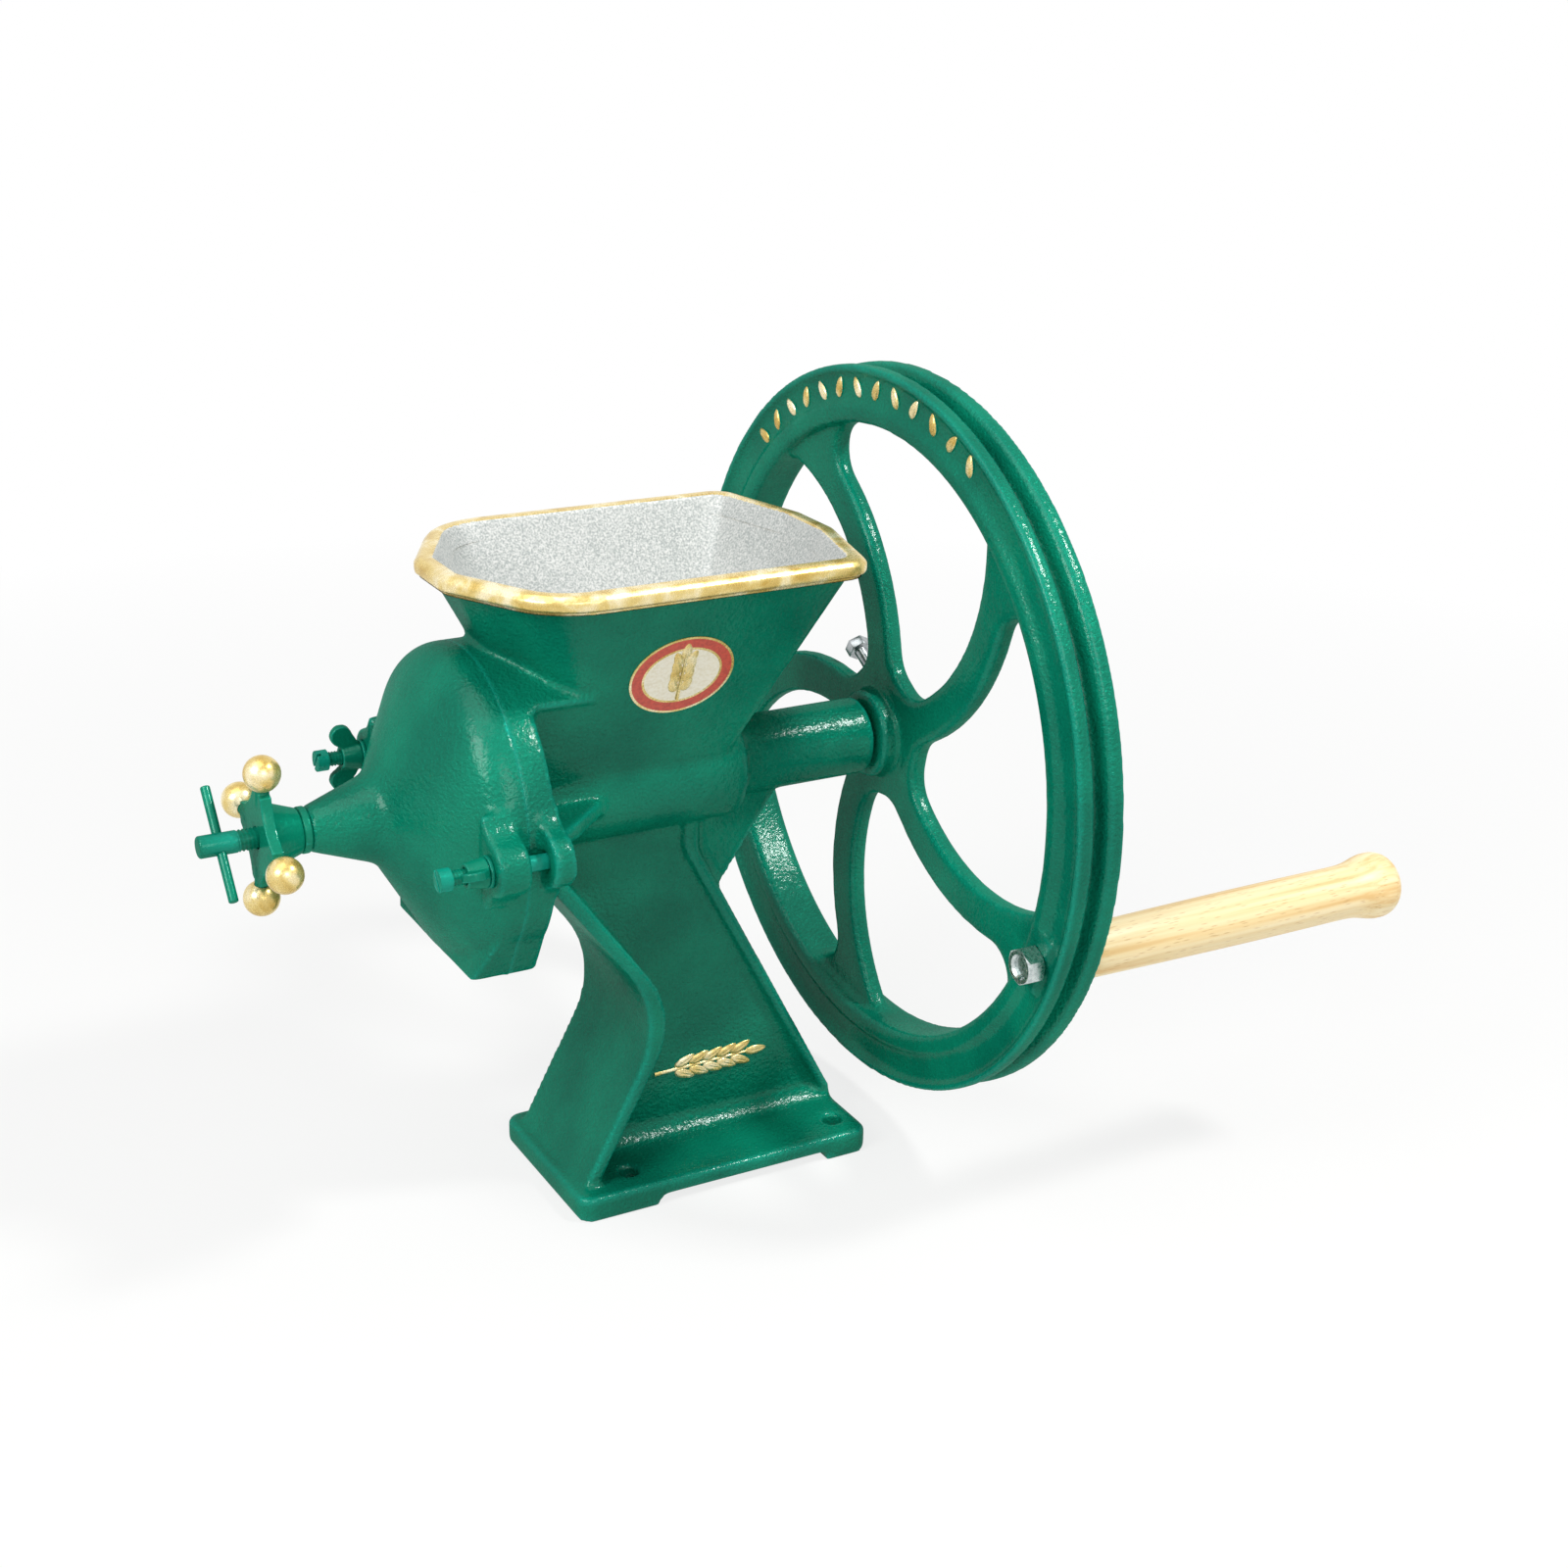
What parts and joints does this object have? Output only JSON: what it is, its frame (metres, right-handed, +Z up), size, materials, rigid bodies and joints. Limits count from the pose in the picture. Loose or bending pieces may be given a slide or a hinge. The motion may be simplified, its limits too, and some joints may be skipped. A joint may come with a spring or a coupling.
{
  "type": "hand grain mill",
  "caption": "Hand-cranked grain mill with a cast pedestal, open hopper, burr chamber, star-nut adjuster and a curved-spoke flywheel with a wooden grip.",
  "frame": {"origin": "middle of the base's bolt pattern, on the table plane", "axes": "+X along the shaft towards the flywheel, +Y to the far side, +Z up"},
  "size_m": [0.6759, 0.45, 0.482],
  "materials": {
    "green_enamel": "glossy pebbled enamel over cast iron",
    "gold_paint": "gold paint",
    "plated_steel": "zinc plated",
    "cast_iron": "machined casting",
    "bronze": "plain bearing",
    "beech": "oiled beech"
  },
  "bodies": {
    "mill": {"stand_casting": "green_enamel", "mill_body": "green_enamel", "hopper": "green_enamel", "hopper_rim": "gold_paint", "front_cover": "green_enamel", "barrel_bush": "bronze", "tube_bush": "bronze", "fixed_burr": "cast_iron", "fixed_burr_screws": "plated_steel", "clamp_bolt_near": "plated_steel", "clamp_bolt_far": "plated_steel"},
    "thrust": {"thrust_ball": "plated_steel"},
    "crank": {"main_shaft": "plated_steel", "feed_screw": "cast_iron", "rotor_plate": "cast_iron", "rotor_pin": "plated_steel", "running_burr": "cast_iron", "running_burr_screws": "plated_steel", "flywheel": "green_enamel", "set_bolt": "plated_steel", "set_bolt_nut": "plated_steel", "handle_bolt": "plated_steel", "handle_nut": "plated_steel", "handle_washer": "plated_steel"},
    "grip": {"handle_grip": "beech"},
    "adjuster": {"adjusting_screw": "green_enamel", "tommy_bar": "green_enamel"},
    "collar": {"lock_collar": "green_enamel"},
    "star": {"star_nut": "green_enamel", "star_ball_1": "gold_paint", "star_ball_2": "gold_paint", "star_ball_3": "gold_paint", "star_ball_4": "gold_paint"},
    "washer_near": {"clamp_washer_near": "plated_steel"},
    "wing_near": {"wing_nut_near": "green_enamel"},
    "washer_far": {"clamp_washer_far": "plated_steel"},
    "wing_far": {"wing_nut_far": "green_enamel"}
  },
  "joints": [
    {"name": "grind_setting", "type": "slide", "parent": "mill", "child": "thrust", "axis": [1, 0, 0], "range_m": [-0.002, 0.001]},
    {"name": "crank_turn", "type": "hinge", "parent": "thrust", "child": "crank", "pos_m": [0, 0, 0.257], "axis": [1, 0, 0], "continuous": true},
    {"name": "grip_spin", "type": "hinge", "parent": "crank", "child": "grip", "pos_m": [0.25, -0.1918, 0.18184], "axis": [1, 0, 0], "continuous": true},
    {"name": "adjuster_turn", "type": "hinge", "parent": "thrust", "child": "adjuster", "pos_m": [-0.26, 0, 0.257], "axis": [1, 0, 0], "range_deg": [-360.5, 180.5]},
    {"name": "collar_travel", "type": "slide", "parent": "mill", "child": "collar", "axis": [1, 0, 0], "range_m": [-0.003, 0]},
    {"name": "star_turn", "type": "hinge", "parent": "collar", "child": "star", "pos_m": [-0.27, 0, 0.257], "axis": [1, 0, 0], "range_deg": [-540.5, 0.5]},
    {"name": "washer_near_travel", "type": "slide", "parent": "mill", "child": "washer_near", "axis": [1, 0, 0], "range_m": [-0.006, 0]},
    {"name": "wing_near_turn", "type": "hinge", "parent": "washer_near", "child": "wing_near", "pos_m": [-0.19, -0.0985, 0.257], "axis": [1, 0, 0], "range_deg": [-1440.5, 0.5]},
    {"name": "washer_far_travel", "type": "slide", "parent": "mill", "child": "washer_far", "axis": [1, 0, 0], "range_m": [-0.006, 0]},
    {"name": "wing_far_turn", "type": "hinge", "parent": "washer_far", "child": "wing_far", "pos_m": [-0.19, 0.0985, 0.257], "axis": [1, 0, 0], "range_deg": [-1440.5, 0.5]}
  ],
  "couplings": [
    {"joint": "adjuster_turn", "follows": "grind_setting", "rad_per_m": 3141.6},
    {"joint": "star_turn", "follows": "collar_travel", "rad_per_m": 3141.6},
    {"joint": "wing_near_turn", "follows": "washer_near_travel", "rad_per_m": 4188.8},
    {"joint": "wing_far_turn", "follows": "washer_far_travel", "rad_per_m": 4188.8}
  ]
}
